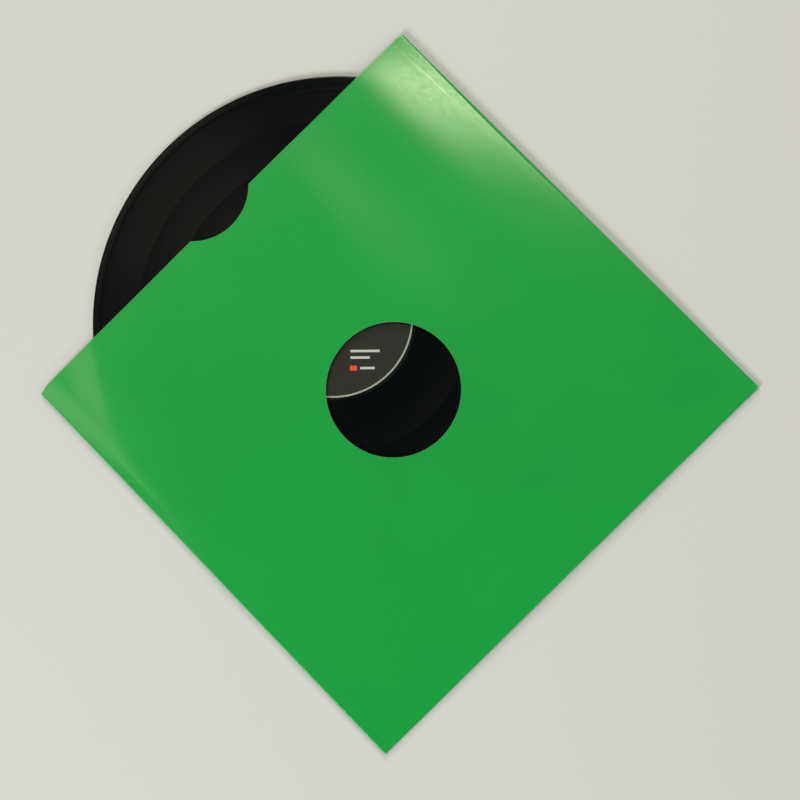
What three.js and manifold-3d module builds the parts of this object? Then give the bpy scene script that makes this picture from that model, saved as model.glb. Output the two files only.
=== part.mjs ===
// Record sleeve: a folded card bag for a 12 inch record, with a round label window and a thumb notch through both
// panels, and the record drawn part-way out of its open end.
// Millimetres, +Z up. The back panel lies on Z = 0, X runs along the mouth, and Y points out of the mouth.

import * as THREE from 'three';
import { mergeVertices } from 'three/addons/utils/BufferGeometryUtils.js';
import Module from 'manifold-3d';

// Sleeve: one die-cut sheet of card, folded at the closed end and along both sides
const SLEEVE_WIDTH = 316; // along the mouth
const SLEEVE_LENGTH = 309; // from the closed end to the mouth
const CARD = 0.4;
const WINDOW_DIAMETER = 83;
const NOTCH_CHORD = 50.4; // width of the thumb notch along the mouth edge
const NOTCH_DEPTH = 11;

// Folds: rounded noses, with the side flaps turned in and glued over the back panel
const FOLD_NOSE = 2.2; // width of the rounded part of a fold, seen from the front
const FOLD_BELLY = 1; // and seen from the back
const FOLD_FACET = 0.3; // height of the upright strip at the very edge of a fold
const FLAP_WIDTH = 15;
const FLAP_TAPER = 12; // length of the slanted end of a flap
const FLAP_SETBACK = 3; // from the closed end to the flap
const BACK_INSET = 1.2; // the back panel's cut edge lies this far inside the side folds
const BACK_TUCK = 1; // how far past the flap's end the back panel regains its full width

// Mouth corners: the slivers trimmed off the folds, along the mouth and down the side
const LEFT_CLIP = { along: 6, down: 1.4 };
const RIGHT_CLIP = { along: 2.5, down: 1 };

// Bulge of the front panel over the record
const CROWN = 1.3; // rise in the middle of the panel
const MOUTH_GAPE = 1.2; // further rise at the mouth
const CREST_WIDTH = 85; // from the crest's top down to its soft foot, at the mouth
const CLOSED_CREST_WIDTH = 51; // and at the closed end
const CORNER_HEIGHT = 2; // height of the front panel where no record lies under it
const SLOPE_MARGIN = 3; // full height is kept this far beside the record's path
const SLOPE_LENGTH = 24; // and falls to the corner height over this distance

// Record: pressed vinyl, thick at the label and the rim and thin in the grooves
const RECORD_DIAMETER = 301.6;
const RECORD_OFFSET = 4.6; // sideways in the pocket
const RECORD_DRAWN = 60.4; // out of the pocket, from the place where it is fully home
const LAND_THICKNESS = 1.9;
const DEAD_WAX_THICKNESS = 1.5;
const GROOVE_THICKNESS = 1.4;
const RIM_THICKNESS = 1.7;
const LAND_DIAMETER = 103;
const DEAD_WAX_DIAMETER = 140;
const RIM_WIDTH = 4.5;
const STEP_WIDTH = 1.2; // the slopes between the zones
const RIM_ROUND = 1.1; // the rounded outer edge
const SPINDLE_DIAMETER = 7.24;

// Labels: paper discs pressed flush into both faces of the record
const LABEL_DIAMETER = 98.6;
const LABEL_THICKNESS = 0.15;
const LABEL_GAP = 0.3; // between a label's edge and the wall of its recess

// Clearances in the pocket
const FLOOR_CLEARANCE = 0.25; // between the flaps and the record's lowest face
const ROOF_CLEARANCE = 0.25; // between the record's highest face and the front panel
const END_CLEARANCE = 0.7; // between the closed end and the record when it is home

// Fineness of the curved surfaces
const PANEL_CELL = 14;
const NOSE_STEPS = 4;
const ROUND_SEGMENTS = 96;
const RIM_STEPS = 3;

// Heights, counted up from the back panel's outer face
const flapTop = 2 * CARD;
const recordMiddle = flapTop + FLOOR_CLEARANCE + LAND_THICKNESS / 2;
const pocketRoof = recordMiddle + LAND_THICKNESS / 2 + ROOF_CLEARANCE;
const panelHeight = pocketRoof + CARD;
const foldMiddle = flapTop + FOLD_FACET / 2 + CARD / 2;

// Places in the plane, with the sleeve's centre at X = 0, Y = 0
const sideEdge = SLEEVE_WIDTH / 2;
const mouthEdge = SLEEVE_LENGTH / 2;
const closedEdge = -SLEEVE_LENGTH / 2;
const recordRadius = RECORD_DIAMETER / 2;
const recordHome = closedEdge + CARD + END_CLEARANCE + recordRadius;
const recordRest = recordHome + RECORD_DRAWN;

// Cutters reach this far past what they cut
const OVERSHOOT = 5;

const wasm = await Module();
wasm.setup();

// Turns a closed three.js geometry into a solid that can be joined and cut.
function solidOf(geometry) {
  const bare = geometry.clone();
  bare.deleteAttribute('normal');
  bare.deleteAttribute('uv');
  const merged = mergeVertices(bare, 1e-4);
  const mesh = new wasm.Mesh({
    numProp: 3,
    vertProperties: merged.getAttribute('position').array,
    triVerts: new Uint32Array(merged.getIndex().array),
  });
  return new wasm.Manifold(mesh);
}

// Turns a solid back into a three.js geometry.
function geometryOf(solid) {
  const mesh = solid.getMesh();
  const geometry = new THREE.BufferGeometry();
  geometry.setAttribute('position', new THREE.BufferAttribute(mesh.vertProperties, 3));
  geometry.setIndex(new THREE.BufferAttribute(mesh.triVerts, 1));
  geometry.computeVertexNormals();
  return geometry;
}

// An upright prism over a flat outline, from one height to another.
function prism(outline, bottom, top) {
  const settings = { depth: top - bottom, bevelEnabled: false, curveSegments: ROUND_SEGMENTS / 2 };
  return new THREE.ExtrudeGeometry(outline, settings).translate(0, 0, bottom);
}

function polygon(corners) {
  return new THREE.Shape(corners.map(([x, y]) => new THREE.Vector2(x, y)));
}

// An upright round cutter through both panels.
function roundCutter(x, y, radius) {
  const height = panelHeight + CROWN + MOUTH_GAPE + 2 * OVERSHOOT;
  const drum = new THREE.CylinderGeometry(radius, radius, height, ROUND_SEGMENTS);
  drum.rotateX(Math.PI / 2).translate(x, y, height / 2 - OVERSHOOT);
  return solidOf(drum);
}

// The rise of a quarter ellipse, from 0 at its foot to 1 at its top.
function quarterEllipse(share) {
  return Math.sqrt(1 - (1 - THREE.MathUtils.clamp(share, 0, 1)) ** 2);
}

// Distance from the nearest fold; the mouth has none.
function foldDistance(x, y) {
  return Math.min(sideEdge - Math.abs(x), y - closedEdge);
}

// Distance from the track that the record covers as it slides, negative inside it.
function trackDistance(x, y) {
  return Math.hypot(x - RECORD_OFFSET, Math.min(y - recordHome, 0)) - recordRadius;
}

// How far the front panel bulges above its level over the record: a soft crest that widens towards the mouth.
function bulge(x, y) {
  const along = THREE.MathUtils.clamp((y - closedEdge) / SLEEVE_LENGTH, 0, 1);
  const width = THREE.MathUtils.lerp(CLOSED_CREST_WIDTH, CREST_WIDTH, along);
  const across = Math.exp(-((x / width) ** 2)) * (1 - (x / sideEdge) ** 4);
  return across * (CROWN * (1 - (1 - along) ** 3) + MOUTH_GAPE * along ** 2);
}

// The front panel's height: inset 0 gives its outer face, and the card's thickness its inner face.
function roof(x, y, inset) {
  const slope = 1 - (trackDistance(x, y) - SLOPE_MARGIN) / SLOPE_LENGTH;
  const lifted = THREE.MathUtils.smoothstep(slope, 0, 1);
  const level = THREE.MathUtils.lerp(CORNER_HEIGHT, panelHeight, lifted) + bulge(x, y);
  const foot = foldMiddle + FOLD_FACET / 2;
  const nose = quarterEllipse((foldDistance(x, y) - inset) / (FOLD_NOSE - inset));
  return foot + (level - inset - foot) * nose;
}

// The back panel's height, flat but for the rounding of the folds.
function floor(x, y, inset) {
  const foot = foldMiddle - FOLD_FACET / 2;
  const belly = quarterEllipse((foldDistance(x, y) - inset) / (FOLD_BELLY - inset));
  return foot + (inset - foot) * belly;
}

// Grid lines from one side to the other, close together over each rounded fold and even between them.
function gridLines(start, end, inset, foldAtEnd) {
  const nose = Array.from({ length: NOSE_STEPS }, (_, k) => {
    return inset + (FOLD_NOSE - inset) * (1 - Math.cos((k / NOSE_STEPS) * (Math.PI / 2)));
  });
  const evenStart = start + FOLD_NOSE;
  const evenEnd = foldAtEnd ? end - FOLD_NOSE : end;
  const cells = Math.round((evenEnd - evenStart) / PANEL_CELL);
  const even = Array.from({ length: cells + 1 }, (_, k) => {
    return THREE.MathUtils.lerp(evenStart, evenEnd, k / cells);
  });
  const far = foldAtEnd ? nose.map((distance) => end - distance).reverse() : [];
  return [...nose.map((distance) => start + distance), ...even, ...far];
}

// A closed body between the two panels' faces, made from a box whose grid is bent to their heights.
function pillow(inset, reach) {
  const xs = gridLines(-sideEdge, sideEdge, inset, true);
  const ys = gridLines(closedEdge, mouthEdge, inset, false);
  if (reach > 0) ys.push(mouthEdge + reach);
  const body = new THREE.BoxGeometry(1, 1, 1, xs.length - 1, ys.length - 1, 1);
  const points = body.getAttribute('position');
  for (let k = 0; k < points.count; k += 1) {
    const x = xs[Math.round((points.getX(k) + 0.5) * (xs.length - 1))];
    const y = ys[Math.round((points.getY(k) + 0.5) * (ys.length - 1))];
    const height = points.getZ(k) > 0 ? roof : floor;
    points.setXYZ(k, x, y, height(x, y, inset));
  }
  return solidOf(body);
}

// A glue flap turned in from a side fold, with a slanted end at the mouth and at the closed end.
function flap(side) {
  const start = closedEdge + FLAP_SETBACK;
  const outer = side * (sideEdge + OVERSHOOT);
  const fold = side * sideEdge;
  const inner = side * (sideEdge - FLAP_WIDTH);
  const corners = [
    [outer, start],
    [fold, start],
    [inner, start + FLAP_TAPER],
    [inner, mouthEdge - FLAP_TAPER],
    [fold, mouthEdge],
    [fold, mouthEdge + 2 * OVERSHOOT],
    [outer, mouthEdge + 2 * OVERSHOOT],
  ];
  return solidOf(prism(polygon(corners), -OVERSHOOT, flapTop));
}

// What lies under a side fold and outside the back panel's cut edge.
function backEdgeCutter(side) {
  const start = closedEdge + FLAP_SETBACK + BACK_TUCK;
  const end = mouthEdge + OVERSHOOT;
  const inner = side * (sideEdge - BACK_INSET);
  const outer = side * (sideEdge + OVERSHOOT);
  const corners = [[inner, start], [outer, start], [outer, end], [inner, end]];
  return solidOf(prism(polygon(corners), -OVERSHOOT, CARD));
}

// The sliver trimmed off a mouth corner.
function cornerClip(side, clip) {
  const slant = clip.down / clip.along;
  const corners = [
    [side * (sideEdge - clip.along), mouthEdge],
    [side * (sideEdge + OVERSHOOT), mouthEdge - clip.down - slant * OVERSHOOT],
    [side * (sideEdge + OVERSHOOT), mouthEdge + OVERSHOOT],
    [side * (sideEdge - clip.along), mouthEdge + OVERSHOOT],
  ];
  return solidOf(prism(polygon(corners), -OVERSHOOT, panelHeight + OVERSHOOT));
}

// The folded sheet: front panel, back panel, three folds and two glued flaps.
function makeSleeve() {
  const pocket = pillow(CARD, OVERSHOOT).subtract(flap(-1)).subtract(flap(1));
  const notchRadius = (NOTCH_CHORD ** 2 / 4 + NOTCH_DEPTH ** 2) / (2 * NOTCH_DEPTH);
  const cutters = [
    pocket,
    backEdgeCutter(-1),
    backEdgeCutter(1),
    cornerClip(-1, LEFT_CLIP),
    cornerClip(1, RIGHT_CLIP),
    roundCutter(0, 0, WINDOW_DIAMETER / 2),
    roundCutter(0, mouthEdge + notchRadius - NOTCH_DEPTH, notchRadius),
  ];
  const sheet = cutters.reduce((body, cutter) => body.subtract(cutter), pillow(0, 0));
  const material = new THREE.MeshStandardMaterial({ color: 0x1f9a3d, roughness: 0.42, metalness: 0 });
  return named('sleeve', geometryOf(sheet), material);
}

// The record's section above its middle plane, from the spindle hole out to the rim.
function recordSection() {
  const land = LAND_THICKNESS / 2;
  const wax = DEAD_WAX_THICKNESS / 2;
  const groove = GROOVE_THICKNESS / 2;
  const rim = RIM_THICKNESS / 2;
  const recess = land - LABEL_THICKNESS;
  const recessRadius = LABEL_DIAMETER / 2 + LABEL_GAP;
  const rimStart = recordRadius - RIM_WIDTH;
  const profile = [
    [SPINDLE_DIAMETER / 2, recess],
    [recessRadius, recess],
    [recessRadius, land],
    [LAND_DIAMETER / 2, land],
    [LAND_DIAMETER / 2 + STEP_WIDTH, wax],
    [DEAD_WAX_DIAMETER / 2, wax],
    [DEAD_WAX_DIAMETER / 2 + STEP_WIDTH, groove],
    [rimStart - STEP_WIDTH, groove],
    [rimStart, rim],
  ];
  for (let k = 0; k < RIM_STEPS; k += 1) {
    const angle = (k / RIM_STEPS) * (Math.PI / 2);
    profile.push([recordRadius - RIM_ROUND * (1 - Math.sin(angle)), rim * Math.cos(angle)]);
  }
  return profile;
}

function makeRecord() {
  const upper = recordSection();
  const lower = upper.map(([radius, height]) => [radius, -height]);
  const edge = [recordRadius, 0];
  const loop = [edge, ...upper.reverse(), ...lower, edge];
  const section = loop.map(([radius, height]) => new THREE.Vector2(radius, height));
  const disc = new THREE.LatheGeometry(section, ROUND_SEGMENTS).rotateX(Math.PI / 2);
  const material = new THREE.MeshStandardMaterial({ color: 0x121211, roughness: 0.28, metalness: 0 });
  return named('record_disc', geometryOf(solidOf(disc)), material);
}

// A paper label, with its lower face at Z = 0.
function makeLabel(name) {
  const outline = new THREE.Shape().absarc(0, 0, LABEL_DIAMETER / 2, 0, 2 * Math.PI);
  outline.holes.push(new THREE.Path().absarc(0, 0, SPINDLE_DIAMETER / 2, 0, 2 * Math.PI, true));
  const material = new THREE.MeshStandardMaterial({ color: 0x2e2d28, roughness: 0.6, metalness: 0 });
  return named(name, prism(outline, 0, LABEL_THICKNESS), material);
}

function named(name, geometry, material) {
  const mesh = new THREE.Mesh(geometry, material);
  mesh.name = name;
  return mesh;
}

const frontLabel = makeLabel('label_front');
frontLabel.position.z = LAND_THICKNESS / 2 - LABEL_THICKNESS;
const backLabel = makeLabel('label_back');
backLabel.position.z = -LAND_THICKNESS / 2;

const record = new THREE.Group();
record.add(makeRecord(), frontLabel, backLabel);
record.position.set(RECORD_OFFSET, recordRest, recordMiddle);

// The origin is under the middle of the sleeve and the drawn-out record together
const sleeveWithRecord = new THREE.Group();
sleeveWithRecord.add(makeSleeve(), record);
sleeveWithRecord.position.y = -(closedEdge + recordRest + recordRadius) / 2;

export default sleeveWithRecord;
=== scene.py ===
"""A folded card record sleeve, lying flat with its record drawn part-way out of the mouth.

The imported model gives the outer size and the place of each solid. This script adds the fine
surface: the folded sheet at its real thickness, the pressed grooves, the label's print, and the
finish of card, vinyl and paper.
"""

import logging
import math
from dataclasses import dataclass, field
from enum import Enum
from typing import Callable, Iterable, Sequence

import bmesh
import bpy
import numpy as np
from mathutils import Matrix, Vector


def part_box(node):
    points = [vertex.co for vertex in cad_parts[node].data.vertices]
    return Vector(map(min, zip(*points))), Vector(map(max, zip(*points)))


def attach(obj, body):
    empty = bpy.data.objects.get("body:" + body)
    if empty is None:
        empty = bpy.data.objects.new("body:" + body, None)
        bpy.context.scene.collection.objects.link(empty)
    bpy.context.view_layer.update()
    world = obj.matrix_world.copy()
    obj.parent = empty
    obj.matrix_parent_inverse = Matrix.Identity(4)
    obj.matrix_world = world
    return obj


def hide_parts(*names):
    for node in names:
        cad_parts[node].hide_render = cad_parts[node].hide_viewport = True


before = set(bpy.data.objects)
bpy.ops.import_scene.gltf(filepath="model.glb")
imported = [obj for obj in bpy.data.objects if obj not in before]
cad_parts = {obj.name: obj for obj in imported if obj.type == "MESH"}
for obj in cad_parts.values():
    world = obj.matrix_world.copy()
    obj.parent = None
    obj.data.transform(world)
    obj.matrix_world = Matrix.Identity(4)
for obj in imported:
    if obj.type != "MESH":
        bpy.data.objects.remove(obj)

LOG = logging.getLogger("record_sleeve")
MM = 0.001
LATHE_WELD = 0.0005 * MM
LATHE_SHARP = 40.0
EASE_STEPS = 5
NOISE_MIDDLE = (0.3, 0.7)
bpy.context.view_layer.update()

Colour = tuple[float, float, float]
Heights = Callable[[np.ndarray, np.ndarray, float], np.ndarray]
Inputs = dict[str | int, object]
Node = bpy.types.Node
NodeTree = bpy.types.NodeTree
Socket = bpy.types.NodeSocket


class Layer(Enum):
    """The four faces of the folded sheet, from the top down."""

    FRONT_OUTER = "front outer"
    FRONT_INNER = "front inner"
    BACK_INNER = "back inner"
    BACK_OUTER = "back outer"


class Side(Enum):
    """The two faces of the record, as the direction that each one looks in."""

    UPPER = 1
    LOWER = -1


class Ink(Enum):
    """The inks of the label's print, as linear colours."""

    DARK = (0.0125, 0.0128, 0.0098)
    PALE = (0.545, 0.545, 0.520)
    CORAL = (0.800, 0.072, 0.045)
    RING = (0.330, 0.410, 0.310)


def linear(red: int, green: int, blue: int) -> Colour:
    """Turns a display colour into the linear values that a shader works with.

    Args:
        red: Red, 0 to 255.
        green: Green, 0 to 255.
        blue: Blue, 0 to 255.

    Returns:
        The same colour in linear light, 0 to 1.
    """
    shares = (value / 255 for value in (red, green, blue))
    values = [s / 12.92 if s <= 0.04045 else ((s + 0.055) / 1.055) ** 2.4 for s in shares]
    return values[0], values[1], values[2]


def quarter_ellipse(share: np.ndarray) -> np.ndarray:
    """Rises from 0 to 1 as a quarter of an ellipse while share goes from 0 to 1."""
    return np.sqrt(1 - (1 - np.clip(share, 0, 1)) ** 2)


def smooth(share: np.ndarray) -> np.ndarray:
    """Rises from 0 to 1 with level ends while share goes from 0 to 1."""
    clipped = np.clip(share, 0, 1)
    return clipped * clipped * (3 - 2 * clipped)


@dataclass(frozen=True)
class Noise:
    """One noise texture's settings, with its scale in waves per metre of the place it is given."""

    scale: float
    detail: float = 2.0
    roughness: float = 0.5


FIBRE_NOISE = Noise(1.0, 3.0, 0.6)
PEEL_NOISE = Noise(420.0)
CLOUD_NOISE = Noise(9.0, 3.0)
SPECK_NOISE = Noise(900.0, 0.0)
COARSE_WEAR_NOISE = Noise(140.0, 3.0, 0.6)
FINE_WEAR_NOISE = Noise(1300.0, 2.0, 0.6)
LOUDNESS_NOISE = Noise(1.0, 5.0, 0.7)
DUST_NOISE = Noise(1500.0, 0.0)


@dataclass(frozen=True)
class Tree:
    """A material's or a group's node tree, with short calls to add and join its nodes."""

    tree: NodeTree

    def add(self, kind: str, inputs: Inputs | None = None, **settings: object) -> Node:
        """Adds one node.

        Args:
            kind: The node's type name.
            inputs: Values or output sockets for its inputs, by name or number.
            **settings: Properties of the node itself.

        Returns:
            The new node.
        """
        node = self.tree.nodes.new(kind)
        for name, value in settings.items():
            setattr(node, name, value)
        self.feed_all(node, inputs or {})
        return node

    def feed_all(self, node: Node, inputs: Inputs) -> None:
        """Feeds several inputs of a node, by name or number."""
        for name, value in inputs.items():
            self.feed(node.inputs[name], value)

    def feed(self, socket: Socket, value: object) -> None:
        """Links an output to a socket, or sets the socket's own value.

        Args:
            socket: The input socket.
            value: An output socket, a number or a colour.
        """
        if isinstance(value, Socket):
            self.tree.links.new(value, socket)
        elif isinstance(value, tuple) and len(value) == 3 and socket.type == "RGBA":
            socket.default_value = (*value, 1.0)
        else:
            socket.default_value = value

    def math(self, operation: str, *values: object) -> Socket:
        """Adds a Math node and gives its output."""
        inputs = dict(enumerate(values))
        return self.add("ShaderNodeMath", inputs, operation=operation).outputs[0]

    def vector(self, operation: str, *values: object, output: str = "Vector") -> Socket:
        """Adds a Vector Math node and gives one of its outputs."""
        inputs = dict(enumerate(values))
        return self.add("ShaderNodeVectorMath", inputs, operation=operation).outputs[output]

    def ramp(
        self, value: object, low: float, high: float, start: float = 0.0, end: float = 1.0
    ) -> Socket:
        """Maps low..high smoothly to start..end, held level outside.

        Args:
            value: The socket to map.
            low: Value that gives start.
            high: Value that gives end.
            start: Result at low.
            end: Result at high.

        Returns:
            The mapped value's socket.
        """
        places = {"Value": value, "From Min": low, "From Max": high, "To Min": start, "To Max": end}
        node = self.add("ShaderNodeMapRange", places, interpolation_type="SMOOTHSTEP")
        return node.outputs["Result"]

    def mix(self, factor: object, first: object, second: object) -> Socket:
        """Blends two colours.

        Args:
            factor: 0 gives the first, 1 the second.
            first: A colour or a colour socket.
            second: A colour or a colour socket.

        Returns:
            The blended colour's socket.
        """
        node = self.add("ShaderNodeMix", data_type="RGBA")
        self.feed_all(node, {0: factor, 6: first, 7: second})
        return node.outputs[2]

    def noise(self, place: object, kind: Noise) -> Socket:
        """Adds a noise texture and gives its value, from 0 to 1."""
        inputs = {"Vector": place, "Scale": kind.scale, "Detail": kind.detail}
        return self.add("ShaderNodeTexNoise", {**inputs, "Roughness": kind.roughness}).outputs[0]

    def bump(self, strength: float, depth: float, height: Socket) -> Socket:
        """Adds a Bump node with its depth in millimetres and gives its normal."""
        inputs = {"Strength": strength, "Distance": depth * MM, "Height": height}
        return self.add("ShaderNodeBump", inputs).outputs[0]

    def place(self) -> Socket:
        """Gives the place on the object, in metres."""
        return self.add("ShaderNodeTexCoord").outputs["Object"]

    def mesh_value(self, name: str) -> Socket:
        """Gives a value that the mesh carries on its points."""
        settings = {"attribute_name": name, "attribute_type": "GEOMETRY"}
        return self.add("ShaderNodeAttribute", **settings).outputs["Fac"]


def new_group(
    name: str, inputs: dict[str, float], outputs: Sequence[str]
) -> tuple[Tree, Node, Node]:
    """Starts a shader node group with float inputs and outputs.

    Args:
        name: The group's name.
        inputs: Names and default values of its inputs.
        outputs: Names of its outputs.

    Returns:
        Its tree, its input node and its output node.
    """
    group = bpy.data.node_groups.new(name, "ShaderNodeTree")
    for label, value in inputs.items():
        socket = group.interface.new_socket(label, in_out="INPUT", socket_type="NodeSocketFloat")
        socket.default_value = value
    for label in outputs:
        group.interface.new_socket(label, in_out="OUTPUT", socket_type="NodeSocketFloat")
    tree = Tree(group)
    return tree, tree.add("NodeGroupInput"), tree.add("NodeGroupOutput")


def sheet_grain_group(
    peel_share: float = 0.6, speck_low: float = 0.90, speck_high: float = 0.92
) -> NodeTree:
    """Makes the grain that card and label paper share.

    Fibres run along Y, the way that the sheet came off the roll. Inputs: Pitch is the width of a
    fibre in millimetres, and Stretch is how many times longer it is. Outputs: Height for a bump
    and for gloss, Mottle for slow changes of colour and gloss, and Specks for rare pale points.

    Args:
        peel_share: How much of the height is fine orange peel.
        speck_low: Noise at which a speck begins to show.
        speck_high: Noise at which it shows in full.

    Returns:
        The node group.
    """
    outputs = ("Height", "Mottle", "Specks")
    tree, given, result = new_group("Sheet Grain", {"Pitch": 0.8, "Stretch": 3.0}, outputs)
    place = tree.place()
    per_metre = tree.math("DIVIDE", 1.0 / MM, given.outputs["Pitch"])
    along = tree.math("DIVIDE", per_metre, given.outputs["Stretch"])
    scale = tree.add("ShaderNodeCombineXYZ", {"X": per_metre, "Y": along, "Z": per_metre})
    fibres = tree.noise(tree.vector("MULTIPLY", place, scale.outputs[0]), FIBRE_NOISE)
    peel = tree.noise(place, PEEL_NOISE)
    specks = tree.ramp(tree.noise(place, SPECK_NOISE), speck_low, speck_high)
    height = tree.math("MULTIPLY_ADD", peel, peel_share, fibres)
    clouds = tree.noise(place, CLOUD_NOISE)
    tree.feed_all(result, {"Height": height, "Mottle": clouds, "Specks": specks})
    return tree.tree


def edge_wear_group(
    fine_share: float = 0.35, full_wear: float = 0.2, least_reach: float = 0.001
) -> NodeTree:
    """Makes the wear that shows along cut edges and folds.

    Inputs: Distance is the distance from the edge in millimetres, Width how far in the wear
    reaches, and Amount how much of the edge it takes. Output: Wear, from 0 to 1.

    Args:
        fine_share: How much the fine noise adds to the coarse one.
        full_wear: Share of the reach inside which the wear is full.
        least_reach: What the reach doesn't fall under, in millimetres.

    Returns:
        The node group.
    """
    inputs = {"Distance": 1.0, "Width": 0.6, "Amount": 0.5}
    tree, given, result = new_group("Edge Wear", inputs, ("Wear",))
    place = tree.place()
    coarse = tree.noise(place, COARSE_WEAR_NOISE)
    ragged = tree.math("MULTIPLY_ADD", tree.noise(place, FINE_WEAR_NOISE), fine_share, coarse)
    reach = tree.math("MULTIPLY", given.outputs["Width"], ragged)
    reach = tree.math("MAXIMUM", reach, least_reach)
    near = tree.ramp(tree.math("DIVIDE", given.outputs["Distance"], reach), 1.0, full_wear)
    tree.feed(result.inputs["Wear"], tree.math("MULTIPLY", near, given.outputs["Amount"]))
    return tree.tree


def printed_bar_group(ink_edge: float = 0.08) -> NodeTree:
    """Makes the mask of one printed bar with slightly soft ink edges.

    Inputs: Across and Up place a point on the label, and Middle Across, Middle Up, Half Length
    and Half Width give the bar, all in millimetres. Output: Mask, from 0 to 1.

    Args:
        ink_edge: Half the width of the soft edge, in millimetres.

    Returns:
        The node group.
    """
    inputs = {"Across": 0.0, "Up": 0.0, "Middle Across": 0.0, "Middle Up": 0.0}
    inputs |= {"Half Length": 5.0, "Half Width": 0.8}
    tree, given, result = new_group("Printed Bar", inputs, ("Mask",))
    masks = []
    for place, half in (("Across", "Half Length"), ("Up", "Half Width")):
        offset = tree.math("SUBTRACT", given.outputs[place], given.outputs[f"Middle {place}"])
        past = tree.math("SUBTRACT", tree.math("ABSOLUTE", offset), given.outputs[half])
        masks.append(tree.ramp(past, ink_edge, -ink_edge))
    tree.feed(result.inputs["Mask"], tree.math("MULTIPLY", *masks))
    return tree.tree


@dataclass(frozen=True)
class Effects:
    """The shader node groups that more than one finish, edge or bar uses."""

    grain: NodeTree
    wear: NodeTree
    bar: NodeTree

    @classmethod
    def build(cls) -> "Effects":
        """Makes each shared group once."""
        return cls(sheet_grain_group(), edge_wear_group(), printed_bar_group())


def new_material(name: str) -> tuple[bpy.types.Material, Tree, Node]:
    """Starts a material with an empty tree, an output and a Principled shader.

    Args:
        name: The material's name.

    Returns:
        The material, its tree and its Principled node.
    """
    material = bpy.data.materials.new(name)
    material.use_nodes = True
    material.node_tree.nodes.clear()
    tree = Tree(material.node_tree)
    shader = tree.add("ShaderNodeBsdfPrincipled")
    tree.add("ShaderNodeOutputMaterial", {"Surface": shader.outputs[0]})
    return material, tree, shader


@dataclass(frozen=True)
class Grain:
    """The shared grain on one finish, with fibre width and bump depth in millimetres."""

    pitch: float
    stretch: float
    strength: float
    depth: float

    def node(self, tree: Tree, effects: Effects) -> Node:
        """Adds the shared grain to a material."""
        inputs = {"Pitch": self.pitch, "Stretch": self.stretch}
        return tree.add("ShaderNodeGroup", inputs, node_tree=effects.grain)

    def normal(self, tree: Tree, node: Node) -> Socket:
        """Gives the normal that the grain bumps."""
        return tree.bump(self.strength, self.depth, node.outputs["Height"])


@dataclass(frozen=True)
class Wear:
    """Rubbing along one kind of edge, by the name of the mesh's distance from it."""

    distance: str
    width: float
    amount: float

    def mask(self, tree: Tree, effects: Effects) -> Socket:
        """Adds the shared edge wear to a material.

        Args:
            tree: The material's tree.
            effects: The shared node groups.

        Returns:
            The mask's socket, 1 where the edge is rubbed.
        """
        place = tree.mesh_value(self.distance)
        inputs = {"Distance": place, "Width": self.width, "Amount": self.amount}
        return tree.add("ShaderNodeGroup", inputs, node_tree=effects.wear).outputs["Wear"]


@dataclass(frozen=True)
class Crease:
    """The soft bend line beside the right fold, in millimetres."""

    inset: float = 8.7
    lean: float = 0.035
    end: float = 72.0
    outer: float = 0.6
    core: float = 0.1

    def mask(self, tree: Tree) -> Socket:
        """Gives the line's mask, which fades out away from the mouth.

        Args:
            tree: The material's tree.

        Returns:
            The mask's socket, 1 on the line.
        """
        from_mouth = tree.mesh_value("mouth_distance")
        from_fold = tree.mesh_value("right_distance")
        leaning = tree.math("MULTIPLY_ADD", from_mouth, self.lean, from_fold)
        beside = tree.math("ABSOLUTE", tree.math("SUBTRACT", leaning, self.inset))
        near_mouth = tree.ramp(from_mouth, self.end, self.end / 2)
        return tree.math("MULTIPLY", tree.ramp(beside, self.outer, self.core), near_mouth)


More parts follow.
